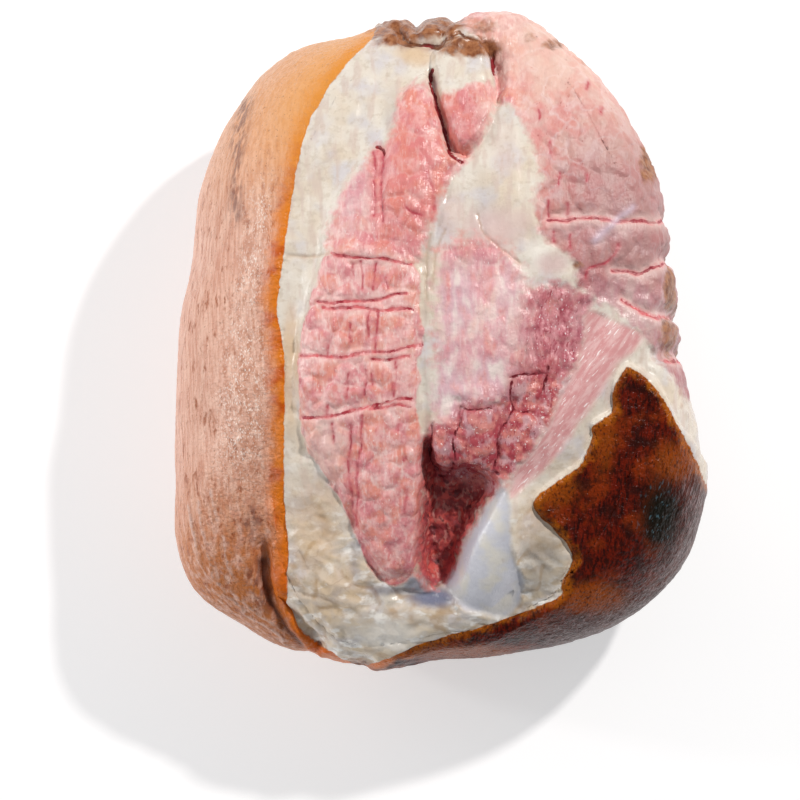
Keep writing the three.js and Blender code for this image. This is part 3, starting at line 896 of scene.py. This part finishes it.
def tan_rind(n):
    """Smoked rind of the left side: streaked tan, orange beside the cut, rusty towards the near end, with
    painted sheen and glints along the crest and painted shadow in the fold.
    """
    streaks = n.noise((1.5, 15, 1.5), 3, 2, 0.6)
    colour = n.mix(n.step(streaks, 0.36, 0.64), tone(206, 146, 122), tone(230, 182, 160))
    glow = n.times(n.mark("high"), n.level(n.step(n.mark("face"), -30, -4), 0.45, 0.9))
    colour = n.mix(glow, colour, tone(229, 164, 98))
    rusty = n.times(n.mark("low", 0.85), n.step(n.noise((3, 20, 3), 2, 75), 0.3, 0.6))
    colour = n.mix(rusty, colour, tone(188, 102, 16))
    mottles = n.step(n.noise((3.5, 8, 3.5), 3, 21, 0.65), 0.55, 0.7)
    colour = n.mix(n.times(mottles, n.step(n.mark("high"), 1.0, 0.0)), colour, tone(164, 92, 56))
    stain = n.times(n.mark("stain", 0.75), n.step(n.noise((2.5, 9, 2.5), 3, 67), 0.36, 0.62))
    colour = n.mix(stain, colour, tone(112, 66, 58))
    pores = n.step(n.noise(1.1, 2, 25), 0.64, 0.72)
    colour = n.mix(n.times(pores, 0.6), colour, tone(140, 82, 54))
    scorched = n.times(n.mark("crest", 0.8), n.step(n.noise((2.5, 6, 2.5), 2, 43), 0.46, 0.62))
    colour = n.mix(scorched, colour, tone(178, 100, 58))
    # Painted sheen and glints along the crest of the rind
    colour = n.mix(n.mark("crest", 0.2), colour, tone(246, 216, 200))
    crest_glints = n.step(n.plus(n.noise((0.5, 1.1, 0.5), 2, 81), n.times(n.noise(8, 2, 89), 0.4)), 0.74, 0.88)
    colour = n.mix(n.times(n.mark("crest", 0.8), crest_glints), colour, tone(254, 240, 230))
    ridges = n.times(n.mark("wrinkle", 0.5), n.step(n.noise(3, 2, 79), 0.35, 0.6))
    colour = n.mix(ridges, colour, tone(226, 204, 196))
    edge = n.step(n.uneven("face", 8, 8, 2, 89), -11, 0)
    golden = n.mix(n.step(n.noise(10, 2, 8), 0.45, 0.65), tone(222, 122, 20), tone(194, 82, 4))
    golden = n.mix(n.mark("high"), golden, tone(225, 146, 62))
    colour = n.mix(edge, colour, n.mix(n.mark("low", 0.7), golden, tone(228, 112, 14)))
    # Painted shadow: dark brown in the fold under the lip
    return n.mix(n.mark("fold", 0.9), colour, tone(84, 36, 18))


def brown_rind(n):
    """Dark smoked rind of the near right corner, amber along its torn edge, with painted sheen streaked low
    down and painted glints on the green patch.
    """
    colour = n.mix(n.step(n.noise((1.3, 9, 1.3), 3, 6, 0.65), 0.36, 0.62), tone(42, 3, 0), tone(104, 22, 2))
    colour = n.mix(n.times(n.step(n.noise(13, 2, 55), 0.5, 0.66), 0.6), colour, tone(142, 52, 4))
    colour = n.mix(n.times(n.step(n.noise(9, 3, 69), 0.52, 0.66), 0.8), colour, tone(38, 8, 4))
    # Painted sheen: purple-grey base and pale streaks low on the brown rind
    colour = n.mix(n.mark("sheen_band", 0.7), colour, tone(74, 36, 30))
    sheen_streaks = n.times(n.mark("sheen_band"), n.step(n.noise((1.4, 9, 1.4), 3, 71, 0.6), 0.5, 0.66))
    colour = n.mix(n.times(sheen_streaks, 0.75), colour, tone(168, 146, 148))
    colour = n.mix(n.mark("amber", 0.8), colour, tone(164, 78, 8))
    amber = n.step(n.uneven("face", 10, 5, 3, 13, 0.6), -4, 0.5)
    colour = n.mix(n.times(amber, 0.9), colour, tone(176, 94, 10))
    pores = n.step(n.noise((1, 2.4, 1), 2, 127), 0.54, 0.66)
    colour = n.mix(n.times(pores, 0.7), colour, tone(52, 12, 2))
    colour = n.mix(n.mark("green", 0.95), colour, tone(8, 12, 2))
    # Painted glints on the green patch
    glints = n.step(n.noise((1.3, 4, 1.3), 2, 73), 0.6, 0.72)
    return n.mix(n.times(n.mark("green", 0.6), glints), colour, tone(84, 116, 128))


def meat_colour(n):
    """Lean, fat, fascia and gristle, with the lines cut into them and the smoked spots over them, painted
    glints on the fascia, painted shade round the gristle's edge and a painted highlight beside the string
    lines.
    """
    border = n.uneven("lean", 1.4, 3.5, 2, 1)
    lean = lean_colour(n)
    streaks = n.noise((4.5, 13, 4.5), 2, 15)
    veil = n.mix(n.step(streaks, 0.44, 0.66), tone(220, 180, 188), tone(238, 222, 216))
    lean = n.mix(n.times(n.mark("veil"), n.step(streaks, 0.18, 0.5)), lean, veil)
    colour = n.mix(n.step(border, -0.5, 0.5), fat_colour(n), lean)
    fibres = n.noise((1.6, 9, 1.6), 3, 17, 0.6, FASCIA_TURN)
    fascia = n.mix(n.step(fibres, 0.4, 0.64), tone(214, 152, 152), tone(228, 184, 182))
    # Painted glints along the fascia's fibres
    fascia_glints = n.step(n.noise((0.8, 5, 0.8), 2, 83, 0.5, FASCIA_TURN), 0.62, 0.7)
    fascia = n.mix(fascia_glints, fascia, tone(248, 230, 228))
    colour = n.mix(n.step(n.mark("fascia"), -2.5, 2), colour, fascia)
    gristle = n.mix(n.step(n.noise(9, 2, 97), 0.4, 0.65), tone(210, 210, 218), tone(222, 217, 208))
    # Painted shade: the gristle greyer towards its edge
    gristle = n.mix(n.times(n.step(n.mark("gristle"), 7, -1), 0.6), gristle, tone(186, 187, 198))
    colour = n.mix(n.step(n.mark("gristle"), -1.5, 1.5), colour, gristle)
    rim = n.times(n.step(border, 0.1, 0.4), n.step(border, 1.3, 0.6))
    colour = n.mix(n.times(n.times(rim, n.mark("low")), 0.5), colour, tone(190, 88, 96))
    # Painted highlight: a pale band beside the string lines
    colour = n.mix(n.times(n.mark("beside", 0.5), n.step(border, 0.0, 0.8)), colour, tone(248, 218, 210))
    flushed = n.times(n.step(n.mark("beside"), 0.72, 0.98), n.step(n.noise(6, 2, 49), 0.3, 0.55))
    colour = n.mix(n.times(flushed, 0.6), colour, tone(220, 122, 126))
    colour = n.mix(n.mark("gash", 0.5), colour, tone(176, 62, 78))
    colour = n.mix(n.mark("furrow", 0.4), colour, tone(208, 116, 122))
    broken = n.step(n.noise(3.5, 2, 1), 0.4, 0.58)
    colour = n.mix(n.times(n.mark("split"), n.level(broken, 0.4, 0.95)), colour, tone(182, 58, 74))
    string = n.mix(n.step(n.noise(5, 2, 5), 0.42, 0.6), tone(212, 100, 104), tone(160, 32, 50))
    string = n.mix(n.mark("slab", 0.6), string, tone(140, 48, 58))
    colour = n.mix(n.times(n.ragged("string"), n.level(broken, 0.6, 1.0)), colour, string)
    colour = n.mix(n.times(n.ragged("tear"), n.level(broken, 0.35, 1.0)), colour, tone(112, 12, 28))
    gap = n.mix(n.step(n.mark("smoke"), 0.05, 0.4), tone(140, 36, 42), tone(104, 70, 56))
    colour = n.mix(n.ragged("crevice"), colour, gap)
    colour = n.mix(n.mark("vein", 0.8), colour, tone(214, 190, 204))
    smoke = n.step(n.plus(n.noise(5, 3, 23), n.mark("smoke", 0.8)), 0.65, 1.2)
    burnt = n.mix(n.step(n.noise((2.5, 3, 8), 3, 57, 0.6), 0.34, 0.7), tone(170, 112, 74), tone(120, 66, 38))
    return n.mix(smoke, colour, burnt)


def ham_material():
    material = bpy.data.materials.new("ham_surface")
    n = Nodes(material)
    on_face = n.step(n.uneven("face", 0.8, 2, 2, 27), -0.25, 0.25)
    browned = n.step(n.plus(n.mark("dark"), n.times(n.noise(10, 2, 8), 0.8)), 0.75, 1.05)
    rind = n.mix(browned, tan_rind(n), brown_rind(n))
    n.put(n.shader.inputs["Base Color"], n.mix(on_face, rind, meat_colour(n)))
    skin_gloss = n.level(n.noise((1.5, 9, 1.5), 2, 29), 0.18, 0.46)
    fatty = n.step(n.mark("lean"), 0.3, -0.3)
    dry = n.math("MAXIMUM", n.mark("slab"), n.mark("hollow"))
    meat_gloss = n.level(n.noise(3, 2, 33), n.level(dry, 0.2, 0.42), n.level(fatty, 0.55, 0.4))
    n.put(n.shader.inputs["Roughness"], n.level(on_face, skin_gloss, meat_gloss))
    skin_height = n.plus(n.times(n.noise((1.2, 10, 1.2), 3, 35), 0.5), n.noise(1.6, 2, 37))
    meat_height = n.plus(n.noise(2, 2, 39), n.times(n.noise((1.2, 5, 1.2), 2, 41), 0.8))
    depth = n.level(on_face, 1.0, n.level(fatty, 0.5, 0.2))
    height = n.times(n.level(on_face, skin_height, meat_height), depth)
    bump = n.tree.nodes.new("ShaderNodeBump")
    bump.inputs["Strength"].default_value = 0.75
    bump.inputs["Distance"].default_value = MM
    n.put(bump.inputs["Height"], height)
    n.put(n.shader.inputs["Normal"], bump.outputs["Normal"])
    n.put(n.shader.inputs["Specular IOR Level"], n.level(on_face, n.level(browned, 0.25, 0.16), 0.45))
    return material


# Ham

def make_ham(camera):
    points, faces = loaf()
    points = points + normals_of(points, faces) * solid_relief(points)[:, None]
    shift = middle_of(points)
    points = points - shift
    marks = surface_marks(points, shift, camera)
    points = points + normals_of(points, faces) * fine_relief(points, marks)[:, None]
    points[:, 2] = np.maximum(points[:, 2], 0)
    mesh = bpy.data.meshes.new("ham_body")
    mesh.from_pydata((points * MM).tolist(), [], faces)
    for name, values in marks.items():
        mesh.attributes.new(name, "FLOAT", "POINT").data.foreach_set("value", values.astype(np.float32))
    mesh.materials.append(ham_material())
    ham = bpy.data.objects.new("ham_body", mesh)
    bpy.context.scene.collection.objects.link(ham)
    thin_out(ham)
    ham.data.shade_smooth()
    return ham


def thin_out(piece):
    piece.data.calc_loop_triangles()
    share = MOST_TRIANGLES / len(piece.data.loop_triangles)
    if share < 1:
        piece.modifiers.new("thin", "DECIMATE").ratio = share
        bpy.context.view_layer.objects.active = piece
        bpy.ops.object.modifier_apply(modifier="thin")


# Stage

def make_floor():
    bpy.ops.mesh.primitive_plane_add(size=FLOOR_SIDE)
    floor = bpy.context.object
    floor.name = "floor"
    material = bpy.data.materials.new("floor")
    material.use_nodes = True
    bsdf = material.node_tree.nodes["Principled BSDF"]
    bsdf.inputs["Base Color"].default_value = FLOOR_COLOUR
    bsdf.inputs["Roughness"].default_value = FLOOR_ROUGHNESS
    bsdf.inputs["Emission Color"].default_value = WHITE
    bsdf.inputs["Emission Strength"].default_value = FLOOR_GLOW
    floor.data.materials.append(material)


def make_lamp(name, energy, size, place, colour):
    data = bpy.data.lights.new(name, "AREA")
    data.energy = energy
    data.size = size
    data.color = colour
    lamp = bpy.data.objects.new(name, data)
    lamp.location = place
    lamp.rotation_mode = "QUATERNION"
    lamp.rotation_quaternion = (Vector(LAMPS_AIM) - lamp.location).to_track_quat("-Z", "Y")
    bpy.context.scene.collection.objects.link(lamp)


def make_light():
    world = bpy.data.worlds.new("studio")
    world.use_nodes = True
    sky = world.node_tree.nodes["Background"]
    sky.inputs["Color"].default_value = SKY_COLOUR
    sky.inputs["Strength"].default_value = SKY_STRENGTH
    bpy.context.scene.world = world
    for lamp in LAMPS:
        make_lamp(*lamp)
    bpy.context.scene.view_settings.view_transform = "Standard"


camera = make_camera()
make_floor()
make_light()
ham = make_ham(camera)
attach(ham, "root")
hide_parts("ham")
